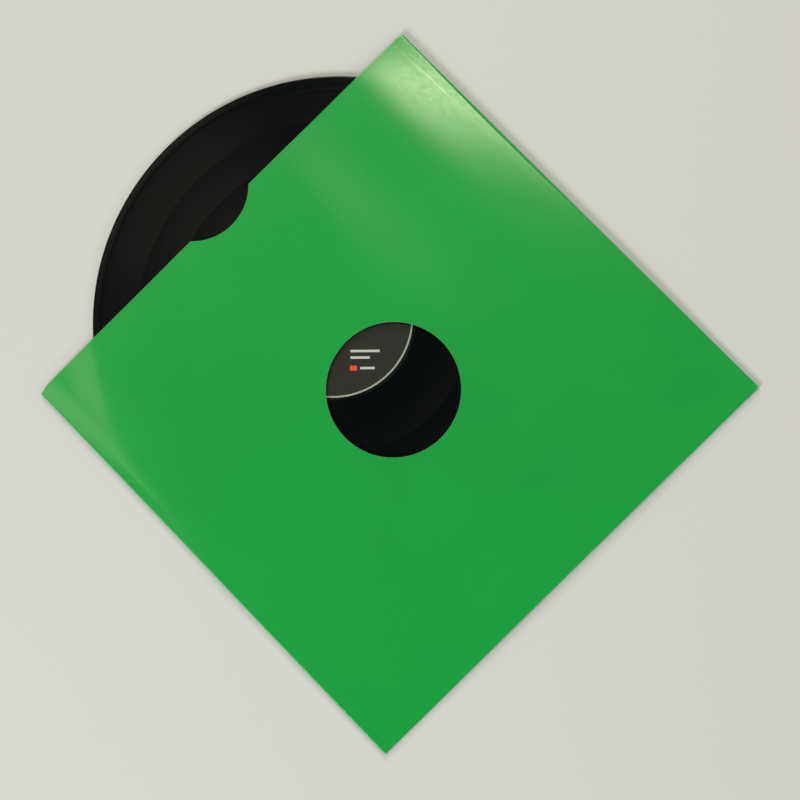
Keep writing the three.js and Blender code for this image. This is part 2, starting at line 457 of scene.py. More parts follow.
@dataclass(frozen=True)
class PrintedCard:
    """Green ink under a glossy varnish, with the board showing where an edge is rubbed; along the
    folds the pale band is also a painted highlight.
    """

    green: Colour = linear(13, 161, 64)
    deep_green: Colour = linear(11, 157, 62)
    wear_and_highlight: Colour = linear(150, 196, 160)
    ink_levels: tuple[float, float] = NOISE_MIDDLE
    roughness: tuple[float, float] = (0.47, 0.53)
    roughness_levels: tuple[float, float] = (0.25, 0.75)
    worn_roughness: float = 0.25
    specular: float = 0.2
    coat: tuple[float, float] = (0.62, 0.93)
    coat_levels: tuple[float, float] = (0.62, 0.98)
    coat_roughness: float = 0.16
    speck_share: float = 0.35
    crease_gloss: float = 0.5
    crease: Crease = Crease()
    grain: Grain = Grain(0.8, 5.0, 1.0, 0.06)
    cut_wear: Wear = Wear("cut_distance", 0.5, 0.12)
    # Pale band along the folds: partly rubbed board, partly a painted highlight on the folds'
    # rounded noses.
    fold_wear_and_highlight: Wear = Wear("fold_distance", 1.0, 0.4)
    tip_wear: Wear = Wear("tip_distance", 3.0, 0.8)

    def material(self, effects: Effects) -> bpy.types.Material:
        """Builds the finish.

        Args:
            effects: The shared node groups.

        Returns:
            The material.
        """
        material, tree, shader = new_material("printed green card")
        grain = self.grain.node(tree, effects)
        mottle = grain.outputs["Mottle"]
        wears = (self.cut_wear, self.fold_wear_and_highlight, self.tip_wear)
        cut, fold, tip = (wear.mask(tree, effects) for wear in wears)
        # Mask of the pale colour: rubbed board at cuts and tips, and along the folds also a painted
        # highlight.
        wear_and_highlight = tree.math("MAXIMUM", tree.math("MAXIMUM", cut, fold), tip)
        specks = tree.math("MULTIPLY", grain.outputs["Specks"], self.speck_share)
        ink = tree.mix(tree.ramp(mottle, *self.ink_levels), self.green, self.deep_green)
        patchy = tree.ramp(mottle, *self.roughness_levels, *self.roughness)
        streaks = tree.ramp(grain.outputs["Height"], *self.coat_levels, *self.coat)
        crease = self.crease.mask(tree)
        tree.feed_all(shader, {
            "Base Color": tree.mix(tree.math("MAXIMUM", wear_and_highlight, specks), ink, self.wear_and_highlight),
            "Roughness": tree.math("MULTIPLY_ADD", wear_and_highlight, self.worn_roughness, patchy),
            "Specular IOR Level": self.specular,
            "Coat Weight": tree.math("MULTIPLY_ADD", crease, self.crease_gloss, streaks),
            "Coat Roughness": self.coat_roughness,
            "Normal": self.grain.normal(tree, grain),
        })
        return material


@dataclass(frozen=True)
class RawBoard:
    """The unprinted side and the cut edges of the card."""

    pale: Colour = linear(196, 199, 188)
    dull: Colour = linear(172, 173, 160)
    roughness: float = 0.85
    specular: float = 0.25
    tone_levels: tuple[float, float] = (0.5, 1.1)
    grain: Grain = Grain(0.3, 5.0, 0.5, 0.06)

    def material(self, effects: Effects) -> bpy.types.Material:
        """Builds the finish.

        Args:
            effects: The shared node groups.

        Returns:
            The material.
        """
        material, tree, shader = new_material("raw board")
        grain = self.grain.node(tree, effects)
        tone = tree.ramp(grain.outputs["Height"], *self.tone_levels)
        tree.feed_all(shader, {
            "Base Color": tree.mix(tone, self.pale, self.dull),
            "Roughness": self.roughness,
            "Specular IOR Level": self.specular,
            "Normal": self.grain.normal(tree, grain),
        })
        return material


@dataclass(frozen=True)
class PressedVinyl:
    """Black vinyl whose grooves draw highlights out into wedges, with lengths in millimetres."""

    black: Colour = linear(6, 10, 12)
    dust: Colour = linear(120, 118, 112)
    dust_share: float = 0.25
    dust_levels: tuple[float, float] = (0.85, 0.89)
    roughness: tuple[float, float] = (0.16, 0.27)
    smooth_roughness: float = 0.2
    specular: float = 0.2
    anisotropy: float = 0.8
    across_grooves: float = 0.25
    pitch: float = 0.42
    groove_ease: float = 0.8
    run_out_pitch: float = 3.4
    run_out_inner: float = 55.0
    run_out_ease: float = 0.5
    run_out_half: float = 0.05
    run_out_depth: float = 0.8
    bump: float = 0.25
    bump_depth: float = 0.03
    loudness_bands: float = 0.55
    loudness_levels: tuple[float, float] = NOISE_MIDDLE

    def material(self, record: "Record") -> bpy.types.Material:
        """Builds the finish.

        Args:
            record: The record, for its centre and its zones.

        Returns:
            The material.
        """
        material, tree, shader = new_material("pressed vinyl")
        place = tree.place()
        offset = tree.vector("SUBTRACT", place, tuple(record.centre))
        axes = tree.add("ShaderNodeSeparateXYZ", {0: offset})
        x, y = axes.outputs["X"], axes.outputs["Y"]
        squares = tree.math("ADD", tree.math("MULTIPLY", x, x), tree.math("MULTIPLY", y, y))
        radius = tree.math("DIVIDE", tree.math("SQRT", squares), MM)
        turn = tree.math("DIVIDE", tree.math("ARCTAN2", y, x), 2 * math.pi)
        inner = record.wax_radius / MM
        outer = (record.radius - record.rim_width) / MM
        started = tree.ramp(radius, inner, inner + self.groove_ease)
        ended = tree.ramp(radius, outer, outer - self.groove_ease)
        grooved = tree.math("MULTIPLY", started, ended)
        run_out = self._run_out(tree, radius, turn, inner)
        groove = tree.math("MULTIPLY", self._groove(tree, radius, turn), grooved)
        height = tree.math("SUBTRACT", groove, tree.math("MULTIPLY", run_out, self.run_out_depth))
        loudness = {"X": tree.math("MULTIPLY", radius, self.loudness_bands)}
        loudness_place = tree.add("ShaderNodeCombineXYZ", loudness).outputs[0]
        tone = tree.noise(loudness_place, LOUDNESS_NOISE)
        rough = tree.ramp(tone, *self.loudness_levels, *self.roughness)
        change = tree.math("SUBTRACT", rough, self.smooth_roughness)
        dust = tree.ramp(tree.noise(place, DUST_NOISE), *self.dust_levels)
        dusty = tree.math("MULTIPLY", dust, self.dust_share)
        tangent = tree.add("ShaderNodeTangent", direction_type="RADIAL", axis="Z")
        tree.feed_all(shader, {
            "Base Color": tree.mix(dusty, self.black, self.dust),
            "Roughness": tree.math("MULTIPLY_ADD", change, grooved, self.smooth_roughness),
            "Specular IOR Level": self.specular,
            "Anisotropic": self.anisotropy,
            "Anisotropic Rotation": self.across_grooves,
            "Tangent": tangent.outputs[0],
            "Normal": tree.bump(self.bump, self.bump_depth, height),
        })
        return material

    def _groove(self, tree: Tree, radius: Socket, turn: Socket) -> Socket:
        """Gives the height of the fine spiral groove.

        Args:
            tree: The material's tree.
            radius: Distance from the spindle hole's middle, in millimetres.
            turn: Share of a full turn.

        Returns:
            The height's socket, from 0 to 1.
        """
        spiral = tree.math("ADD", tree.math("DIVIDE", radius, self.pitch), turn)
        wave = tree.math("SINE", tree.math("MULTIPLY", spiral, 2 * math.pi))
        return tree.math("MULTIPLY_ADD", wave, 0.5, 0.5)

    def _run_out(self, tree: Tree, radius: Socket, turn: Socket, start: float) -> Socket:
        """Gives the mask of the wide spiral line on the smooth ring inside the grooves.

        Args:
            tree: The material's tree.
            radius: Distance from the spindle hole's middle, in millimetres.
            turn: Share of a full turn.
            start: Radius at which the grooves end, in millimetres.

        Returns:
            The mask's socket.
        """
        spiral = tree.math("ADD", tree.math("DIVIDE", radius, self.run_out_pitch), turn)
        line = tree.math("ABSOLUTE", tree.math("SUBTRACT", tree.math("FRACT", spiral), 0.5))
        within = tree.ramp(radius, start + self.run_out_ease, start)
        inside = tree.ramp(radius, self.run_out_inner + self.run_out_ease, self.run_out_inner)
        wax = tree.math("MAXIMUM", tree.math("SUBTRACT", within, inside), 0.0)
        return tree.math("MULTIPLY", tree.ramp(line, self.run_out_half, 0.0), wax)


@dataclass(frozen=True)
class Bar:
    """One plain printed bar on a label, in millimetres from the spindle hole."""

    across: float
    up: float
    half_length: float
    half_width: float
    ink: Ink

    def mask(self, tree: Tree, effects: Effects, across: Socket, up: Socket) -> Socket:
        """Adds the shared bar mask to a material.

        Args:
            tree: The material's tree.
            effects: The shared node groups.
            across: Place across the print, in millimetres.
            up: Place up the print, in millimetres.

        Returns:
            The mask's socket.
        """
        inputs = {"Across": across, "Up": up, "Middle Across": self.across, "Middle Up": self.up}
        inputs |= {"Half Length": self.half_length, "Half Width": self.half_width}
        return tree.add("ShaderNodeGroup", inputs, node_tree=effects.bar).outputs["Mask"]


@dataclass(frozen=True)
class LabelPaper:
    """Uncoated label paper, printed all over in a dark ink, with a pale ring and a few bars."""

    roughness: tuple[float, float] = (0.51, 0.59)
    roughness_levels: tuple[float, float] = NOISE_MIDDLE
    specular: float = 0.35
    fibre_gain: float = 1.12
    fibre_lift: float = 0.002
    ring_inner: float = 48.05
    ring_outer: float = 49.05
    ring_edge: float = 0.06
    tone_levels: tuple[float, float] = (0.5, 1.1)
    print_turn: float = math.radians(-44.4)
    grain: Grain = Grain(0.25, 2.0, 0.3, 0.03)
    bars: tuple[Bar, ...] = (
        Bar(19.5, -20.5, 9.0, 0.75, Ink.PALE),
        Bar(16.5, -24.5, 6.0, 0.75, Ink.PALE),
        Bar(12.4, -31.0, 2.2, 1.5, Ink.CORAL),
        Bar(21.0, -31.0, 4.5, 0.75, Ink.PALE),
    )

    def material(self, effects: Effects, centre: Vector, side: Side) -> bpy.types.Material:
        """Builds the finish of one label.

        Args:
            effects: The shared node groups.
            centre: The spindle hole's middle.
            side: The face of the record that the label is on.

        Returns:
            The material.
        """
        material, tree, shader = new_material(f"{side.name.lower()} label paper")
        offset = tree.vector("SUBTRACT", tree.place(), tuple(centre))
        scaled = tree.vector("MULTIPLY", offset, (1 / MM, 1 / MM, 1 / MM))
        axes = tree.add("ShaderNodeSeparateXYZ", {0: scaled})
        x, y = axes.outputs["X"], axes.outputs["Y"]
        cosine, sine = math.cos(self.print_turn), math.sin(self.print_turn)
        across = tree.math("MULTIPLY_ADD", x, side.value * cosine, tree.math("MULTIPLY", y, sine))
        up = tree.math("MULTIPLY_ADD", x, -side.value * sine, tree.math("MULTIPLY", y, cosine))
        grain = self.grain.node(tree, effects)
        tone = tree.ramp(grain.outputs["Height"], *self.tone_levels)
        lighter = tuple(v * self.fibre_gain + self.fibre_lift for v in Ink.DARK.value)
        colour = tree.mix(tone, Ink.DARK.value, lighter)
        for bar in self.bars:
            colour = tree.mix(bar.mask(tree, effects, across, up), colour, bar.ink.value)
        flat = tree.add("ShaderNodeCombineXYZ", {"X": x, "Y": y}).outputs[0]
        radius = tree.vector("LENGTH", flat, output="Value")
        edge = self.ring_edge
        outside = tree.ramp(radius, self.ring_inner - edge, self.ring_inner + edge)
        inside = tree.ramp(radius, self.ring_outer + edge, self.ring_outer - edge)
        ring = tree.math("MULTIPLY", outside, inside)
        mottle = grain.outputs["Mottle"]
        tree.feed_all(shader, {
            "Base Color": tree.mix(ring, colour, Ink.RING.value),
            "Roughness": tree.ramp(mottle, *self.roughness_levels, *self.roughness),
            "Specular IOR Level": self.specular,
            "Normal": self.grain.normal(tree, grain),
        })
        return material


def mesh_object(name: str, points: np.ndarray, faces: Iterable[Sequence[int]]) -> bpy.types.Object:
    """Makes a mesh object in the scene.

    Args:
        name: The object's and the mesh's name.
        points: Its points, in metres.
        faces: Its faces, as point numbers.

    Returns:
        The object.
    """
    mesh = bpy.data.meshes.new(name)
    corners = [tuple(map(float, point)) for point in points]
    mesh.from_pydata(corners, [], [tuple(map(int, face)) for face in faces])
    mesh.update()
    piece = bpy.data.objects.new(name, mesh)
    bpy.context.scene.collection.objects.link(piece)
    return piece


def weld(piece: bpy.types.Object, distance: float) -> None:
    """Joins points that lie together and turns every face outwards.

    Args:
        piece: The mesh object.
        distance: How close joined points may be, in metres.
    """
    work = bmesh.new()
    work.from_mesh(piece.data)
    bmesh.ops.remove_doubles(work, verts=work.verts, dist=distance)
    bmesh.ops.recalc_face_normals(work, faces=work.faces)
    work.to_mesh(piece.data)
    work.free()


def lathe(
    name: str, profile: Sequence[tuple[float, float]], centre: Vector, segments: int
) -> bpy.types.Object:
    """Turns a closed section round an upright axis.

    Args:
        name: The object's name.
        profile: Radius and height pairs, in order round the section.
        centre: The axis's place and the height that the section is counted from.
        segments: Steps in a full turn.

    Returns:
        The object, shaded smooth but for its sharp edges.
    """
    angles = np.linspace(0, 2 * math.pi, segments, endpoint=False)
    circle = np.stack([np.cos(angles), np.sin(angles)], axis=1)
    rings = [
        np.column_stack([circle * radius, np.full(segments, height)]) for radius, height in profile
    ]
    faces = []
    for ring in range(len(profile)):
        following = (ring + 1) % len(profile)
        for k in range(segments):
            n = (k + 1) % segments
            corners = ((ring, k), (ring, n), (following, n), (following, k))
            faces.append(tuple(r * segments + c for r, c in corners))
    piece = mesh_object(name, np.concatenate(rings) + np.array(centre), faces)
    weld(piece, LATHE_WELD)
    shade(piece, LATHE_SHARP)
    return piece


def shade(piece: bpy.types.Object, sharp_angle: float) -> None:
    """Shades a mesh smooth, but for edges that bend more than an angle.

    Args:
        piece: The mesh object.
        sharp_angle: The angle in degrees.
    """
    for polygon in piece.data.polygons:
        polygon.use_smooth = True
    piece.data.set_sharp_from_angle(angle=math.radians(sharp_angle))


@dataclass
class Swell:
    """A low, soft rise of the card, as it bulges and settles over the record."""

    x: float
    y: float
    wide: float
    long: float
    height: float

    def at(self, x: np.ndarray, y: np.ndarray) -> np.ndarray:
        """Gives the rise at points of the sleeve's plane.

        Args:
            x: Places across the sleeve, from its middle.
            y: Places along the sleeve, from its middle.

        Returns:
            Heights in metres.
        """
        across = (x - self.x) / self.wide
        along = (y - self.y) / self.long
        return self.height * np.exp(-(across**2) - along**2)


@dataclass
class PanelGrid:
    """The layout of one panel: a grid that closes round the window and follows the notch."""

    points: np.ndarray
    faces: list[tuple[int, int, int, int]]
    window: list[int]
    mouth: list[int]


@dataclass
class SleeveSheet:
    """The folded and glued sheet of card.

    The front panel stands at panel_height over the record's track and falls to corner_height
    beside it, with a crest along its middle that opens towards the mouth. Where the drawn-out
    record has left the pocket it settles, which gives the corners their highlights.
    """

    low: Vector
    high: Vector
    card: float = 0.4 * MM
    window_radius: float = 41.5 * MM
    notch_half: float = 25.2 * MM
    notch_depth: float = 11 * MM
    nose: float = 2.2 * MM
    belly: float = 1.0 * MM
    flap_width: float = 15 * MM
    flap_taper: float = 12 * MM
    flap_setback: float = 3 * MM
    back_inset: float = 1.2 * MM
    back_tuck: float = 1 * MM
    left_clip: tuple[float, float] = (6 * MM, 1.4 * MM)
    right_clip: tuple[float, float] = (2.5 * MM, 1.0 * MM)
    panel_height: float = 3.6 * MM
    corner_height: float = 2.0 * MM
    crown: float = 1.3 * MM
    gape: float = 1.2 * MM
    crest_width: float = 85 * MM
    closed_crest_width: float = 51 * MM
    settled_height: float = 3.3 * MM
    settled_drop: float = 1.0 * MM
    corner_fall: float = 48 * MM
    settle_length: float = 16 * MM
    settle_power: float = 1.5
    tight_nose: float = 1.0 * MM
    roll: float = 0.35 * MM
    roll_length: float = 9 * MM
    drawn: float = 60.4 * MM
    slope_margin: float = 3 * MM
    slope_length: float = 24 * MM
    track_offset: float = 4.6 * MM
    end_clearance: float = 0.7 * MM
    track_radius: float = 150.8 * MM
    fold_gap: float = 0.35 * MM
    top_clearance: float = 0.02 * MM
    flap_clearance: float = 0.01 * MM
    line_gap: float = 0.01 * MM
    touch: float = 0.001 * MM
    weld_distance: float = 0.002 * MM
    sharp_angle: float = 50.0
    mouth_rows: tuple[float, ...] = (0.25 * MM, 0.7 * MM, 1.5 * MM)
    cell: float = 4 * MM
    nose_steps: int = 8
    block_steps: int = 16
    ring_steps: int = 9
    swells: tuple[Swell, ...] = (
        Swell(118 * MM, 130 * MM, 28 * MM, 110 * MM, 1.2 * MM),
        Swell(40 * MM, 80 * MM, 34 * MM, 115 * MM, 0.9 * MM),
        Swell(-112 * MM, 120 * MM, 34 * MM, 120 * MM, 0.9 * MM),
    )

    def __post_init__(self) -> None:
        """Works out the places that follow from the sizes.

        The block is the square round the window whose lines fan out evenly from the middle. Its
        half width puts a line, at 22.5 degrees, on each end of the notch.
        """
        self.half = (self.high.x - self.low.x) / 2
        self.mouth = (self.high.y - self.low.y) / 2
        middle = (self.high + self.low) / 2
        self.centre = Vector((middle.x, middle.y, 0.0))
        self.home = -self.mouth + self.card + self.end_clearance + self.track_radius
        self.fold_middle = 2 * self.card + self.fold_gap
        self.notch_radius = (self.notch_half**2 + self.notch_depth**2) / (2 * self.notch_depth)
        self.block = self.notch_half / math.tan(math.pi / 8)

    def fold_distance(self, x: np.ndarray, y: np.ndarray) -> np.ndarray:
        """Gives the distance from the nearest fold; the mouth has none."""
        return np.minimum(self.half - np.abs(x), y + self.mouth)

    def cut_distance(self, x: np.ndarray, y: np.ndarray) -> np.ndarray:
        """Gives the distance from the nearest cut edge.

        Args:
            x: Places across the sleeve, from its middle.
            y: Places along the sleeve, from its middle.

        Returns:
            The distance from the window, the notch or the mouth, in metres.
        """
        window = np.hypot(x, y) - self.window_radius
        notch_middle = self.mouth + self.notch_radius - self.notch_depth
        notch = np.hypot(x, y - notch_middle) - self.notch_radius
        return np.maximum(np.minimum(np.minimum(window, notch), self.mouth_line(x) - y), 0)

    def mouth_line(self, x: np.ndarray) -> np.ndarray:
        """Gives the mouth's edge, with the thumb notch and the trimmed corners.

        Args:
            x: Places across the sleeve, from its middle.

        Returns:
            Y along the edge, in metres.
        """
        bow = np.sqrt(np.maximum(self.notch_radius**2 - x**2, 0))
        inside = bow - (self.notch_radius - self.notch_depth)
        notch = np.where(np.abs(x) < self.notch_half, np.maximum(inside, 0), 0)
        (left_width, left_depth), (right_width, right_depth) = self.left_clip, self.right_clip
        left = np.clip(1 - (x + self.half) / left_width, 0, 1) * left_depth
        right = np.clip(1 - (self.half - x) / right_width, 0, 1) * right_depth
        return self.mouth - notch - left - right

    def roof(self, x: np.ndarray, y: np.ndarray, inset: float) -> np.ndarray:
        """Gives the front panel's height.

        Args:
            x: Places across the sleeve, from its middle.
            y: Places along the sleeve, from its middle.
            inset: 0 for the outer face, and the card's thickness for the inner one.

        Returns:
            Heights in metres.
        """
        track = np.hypot(x - self.track_offset, np.minimum(y - self.home, 0)) - self.track_radius
        lifted = smooth(1 - (track - self.slope_margin) / self.slope_length)
        along = np.clip((y + self.mouth) / (2 * self.mouth), 0, 1)
        width = self.closed_crest_width + (self.crest_width - self.closed_crest_width) * along
        across = np.exp(-((x / width) ** 2)) * (1 - (x / self.half) ** 4)
        level = self.corner_height + (self.panel_height - self.corner_height) * lifted
        level = level + across * (self.crown * (1 - (1 - along) ** 3) + self.gape * along**2)
        level = level + sum(swell.at(x, y) for swell in self.swells)
        level = np.minimum(level, self.high.z - self.top_clearance)
        level = level - self.roll * np.exp(-(self.half - np.abs(x)) / self.roll_length)
        bare = self.bare(x, y)
        past_home = smooth((y - self.home) / self.drawn)
        fall = self.corner_fall + (self.settle_length - self.corner_fall) * past_home
        settled = self.settled_height - self.settled_drop * smooth(track / fall)
        level = level + (settled - level) * bare
        reach = self.nose + (self.tight_nose - self.nose) * bare
        nose = quarter_ellipse((self.fold_distance(x, y) - inset) / (reach - inset))
        return self.fold_middle + (level - inset - self.fold_middle) * nose

    def bare(self, x: np.ndarray, y: np.ndarray) -> np.ndarray:
        """Gives how far the panel has settled beside the drawn-out record.

        Args:
            x: Places across the sleeve, from its middle.
            y: Places along the sleeve, from its middle.

        Returns:
            0 over the record, and 1 well clear of it.
        """
        beyond = np.hypot(x - self.track_offset, y - self.home - self.drawn) - self.track_radius
        share = np.maximum(beyond, 0) / self.settle_length
        return 1 - np.exp(-(share**self.settle_power))

    def floor(self, x: np.ndarray, y: np.ndarray, inset: float) -> np.ndarray:
        """Gives the back panel's height, with its cut edge set in from the side folds.

        Args:
            x: Places across the sleeve, from its middle.
            y: Places along the sleeve, from its middle.
            inset: 0 for the outer face, and the card's thickness for the inner one.

        Returns:
            Heights in metres.
        """
        belly = quarter_ellipse((self.fold_distance(x, y) - inset) / (self.belly - inset))
        height = self.fold_middle + (inset - self.fold_middle) * belly
        beside = self.half - np.abs(x) < self.back_inset - self.touch
        tucked = y + self.mouth > self.flap_setback + self.back_tuck
        return np.where(beside & tucked, np.maximum(height, self.card), height)

    def _lines(self, start: float, stop: float, extra: Sequence[float] = ()) -> np.ndarray:
        """Gives even grid lines from start to stop, with a few more.

        Args:
            start: The first line's place.
            stop: The last line's place.
            extra: Places of lines that have to be there.

        Returns:
            The lines' places in order.
        """
        count = max(2, round(abs(stop - start) / self.cell) + 1)
        return np.unique(np.round(np.concatenate([np.linspace(start, stop, count), extra]), 7))

    def _fold_lines(self) -> np.ndarray:
        """Gives the places of the lines beside a fold.

        Returns:
            Distances from the fold, close together over its rounded nose.
        """
        angles = np.linspace(0, math.pi / 2, self.nose_steps + 1)
        step = (self.back_inset, self.back_inset - self.line_gap)
        return np.unique(np.concatenate([self.nose * (1 - np.cos(angles)), step]))

    def grid(self) -> PanelGrid:
        """Lays out one panel.

        Returns:
            Its points in the sleeve's plane, its faces, and the points round window and mouth.
        """
        fold = self._fold_lines()
        size = 2 * self.block_steps
        middle = self.block * np.tan(np.linspace(-math.pi / 4, math.pi / 4, size + 1))
        left = self._lines(-self.half + self.nose, -self.block, (-self.half + self.left_clip[0],))
        right = self._lines(self.block, self.half - self.nose, (self.half - self.right_clip[0],))
        left_fold, right_fold = -self.half + fold[:-1], self.half - fold[::-1][1:]
        xs = np.concatenate([left_fold, left[:-1], middle, right[1:], right_fold])
        tuck = -self.mouth + self.flap_setback + self.back_tuck
        below = self._lines(-self.mouth + self.nose, -self.block, (tuck, tuck + self.line_gap))
        above = self._lines(self.block, self.mouth)
        above = np.unique(np.concatenate([above, self.mouth - np.array(self.mouth_rows)]))
        ys = np.concatenate([-self.mouth + fold[:-1], below[:-1], middle, above[1:]])
        grid_x, grid_y = np.meshgrid(xs, ys)
        share = np.clip((grid_y - self.block) / (self.mouth - self.block), 0, 1)
        grid_y = grid_y - share * (self.mouth - self.mouth_line(grid_x))
        points = [np.stack([grid_x.ravel(), grid_y.ravel()], axis=1)]
        columns = len(xs)
        first_column = int(np.argmin(np.abs(xs + self.block)))
        first_row = int(np.argmin(np.abs(ys + self.block)))
        faces = []
        for row in range(len(ys) - 1):
            for column in range(columns - 1):
                in_block = 0 <= row - first_row < size and 0 <= column - first_column < size
                if not in_block:
                    corner = row * columns + column
                    faces.append((corner, corner + 1, corner + columns + 1, corner + columns))
        border = self._block_border(first_row, first_column, size, columns)
        square = points[0][border]
        angles = np.arctan2(square[:, 1], square[:, 0])
        circle = self.window_radius * np.stack([np.cos(angles), np.sin(angles)], axis=1)
        total = len(points[0])
        previous = border
        for step in range(1, self.ring_steps + 1):
            share_in = 1 - (1 - step / self.ring_steps) ** 2
            points.append(square + (circle - square) * share_in)
            ring = list(range(total, total + len(border)))
            total += len(border)
            around = range(len(border))
            faces += [(previous[k - 1], previous[k], ring[k], ring[k - 1]) for k in around]
            previous = ring
        mouth = [(len(ys) - 1) * columns + column for column in range(columns)]
        return PanelGrid(np.concatenate(points), faces, previous, mouth)

    @staticmethod
    def _block_border(row: int, column: int, size: int, columns: int) -> list[int]:
        """Lists the grid points round the block that the window's rings fill, anticlockwise.

        Args:
            row: The block's first row.
            column: The block's first column.
            size: Cells along each of its sides.
            columns: Points in one row of the grid.

        Returns:
            Point numbers.
        """
        lower = [(row, column + k) for k in range(size)]
        right = [(row + k, column + size) for k in range(size)]
        upper = [(row + size, column + size - k) for k in range(size)]
        left = [(row + size - k, column) for k in range(size)]
        return [r * columns + c for r, c in lower + right + upper + left]

    def _layer(self, grid: PanelGrid, heights: Heights, inset: float) -> np.ndarray:
        """Puts the panel's points on one face of the folded sheet.

        Args:
            grid: The panel's layout.
            heights: The function that gives the face's height.
            inset: 0 for an outer face, and the card's thickness for an inner one.

        Returns:
            Points in the sleeve's own frame.
        """
        squeeze = (self.nose - inset) / self.nose
        x, y = grid.points[:, 0], grid.points[:, 1]
        beside = self.half - np.abs(x)
        inner = self.half - inset - beside * squeeze
        moved_x = np.where(beside < self.nose, np.sign(x) * inner, x)
        below = y + self.mouth
        moved_y = np.where(below < self.nose, -self.mouth + inset + below * squeeze, y)
        return np.stack([moved_x, moved_y, heights(moved_x, moved_y, inset)], axis=1)

    def build(self) -> bpy.types.Object:
        """Makes the sheet as one closed mesh, with its glue flaps.

        Returns:
            The piece.
        """
        grid = self.grid()
        faces_of = {
            Layer.FRONT_OUTER: (self.roof, 0.0, False),
            Layer.FRONT_INNER: (self.roof, self.card, True),
            Layer.BACK_INNER: (self.floor, self.card, False),
            Layer.BACK_OUTER: (self.floor, 0.0, True),
        }
        count = len(grid.points)
        points, faces, raw = [], [], []
        for number, (layer, (heights, inset, turned)) in enumerate(faces_of.items()):
            points.append(self._layer(grid, heights, inset))
            shifted = [tuple(index + number * count for index in face) for face in grid.faces]
            faces += [face[::-1] if turned else face for face in shifted]
            raw += [layer in (Layer.FRONT_INNER, Layer.BACK_INNER)] * len(shifted)
        for outer, inner in ((0, 1), (3, 2)):
            for loop, closed in ((grid.window, True), (grid.mouth, False)):
                first = 0 if closed else 1
                for k in range(first, len(loop)):
                    a, b = loop[k - 1], loop[k]
                    upper, lower = outer * count, inner * count
                    faces.append((a + upper, b + upper, b + lower, a + lower))
                    raw.append(True)
        flap_points, flap_faces = self._flaps(4 * count)
        points.append(flap_points)
        faces += flap_faces
        raw += [True] * len(flap_faces)
        everything = np.concatenate(points)
        piece = mesh_object("sleeve_sheet", everything + np.array(self.centre), faces)
        mesh = piece.data
        mesh.polygons.foreach_set("material_index", [int(is_raw) for is_raw in raw])
        weld(piece, self.weld_distance)
        self._measure(piece)
        shade(piece, self.sharp_angle)
        return piece

    def _flaps(self, first: int) -> tuple[np.ndarray, list[tuple[int, ...]]]:
        """Makes the two glue flaps that lie inside on the back panel.

        Args:
            first: Number of the first new point.

        Returns:
            Points and faces.
        """
        start = -self.mouth + self.flap_setback
        outer = self.half - self.card
        inner = self.half - self.flap_width
        outline = [
            (outer, start),
            (outer, self.mouth - self.left_clip[1]),
            (inner, self.mouth - self.flap_taper),
            (inner, start + self.flap_taper),
        ]
        points, faces = [], []
        for side in (-1, 1):
            base = first + len(points)
            for height in (self.card + self.flap_clearance, 2 * self.card):
                points += [(side * x, y, height) for x, y in outline]
            lower, upper = range(base, base + 4), range(base + 4, base + 8)
            faces += [tuple(lower), tuple(reversed(upper))]
            for k in range(4):
                n = (k + 1) % 4
                faces.append((lower[k], lower[n], upper[n], upper[k]))
        return np.array(points), faces

    def _measure(self, piece: bpy.types.Object) -> None:
        """Writes each point's distances from edges, folds and corners onto the mesh.

        The finish reads them, in millimetres, to place the wear and the crease.

        Args:
            piece: The sheet.
        """
        mesh = piece.data
        flat = np.empty(len(mesh.vertices) * 3)
        mesh.vertices.foreach_get("co", flat)
        places = flat.reshape(-1, 3) - np.array(self.centre)
        x, y = places[:, 0], places[:, 1]
        distances = {
            "cut_distance": self.cut_distance(x, y),
            "fold_distance": self.fold_distance(x, y),
            "tip_distance": np.hypot(self.half - np.abs(x), self.mouth - np.abs(y)),
            "right_distance": self.half - x,
            "mouth_distance": self.mouth - y,
        }
        for name, values in distances.items():
            attribute = mesh.attributes.new(name, "FLOAT", "POINT")
            attribute.data.foreach_set("value", values / MM)

    def dress(self, piece: bpy.types.Object, effects: Effects) -> None:
        """Gives the sheet its printed outside and its raw inside."""
        for finish in (PrintedCard(), RawBoard()):
            piece.data.materials.append(finish.material(effects))


@dataclass
class RoundPiece:
    """A round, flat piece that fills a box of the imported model."""

    low: Vector
    high: Vector

    def __post_init__(self) -> None:
        """Works out the middle, the radius and half the thickness."""
        self.centre = (self.low + self.high) / 2
        self.radius = (self.high.x - self.low.x) / 2
        self.half = (self.high.z - self.low.z) / 2


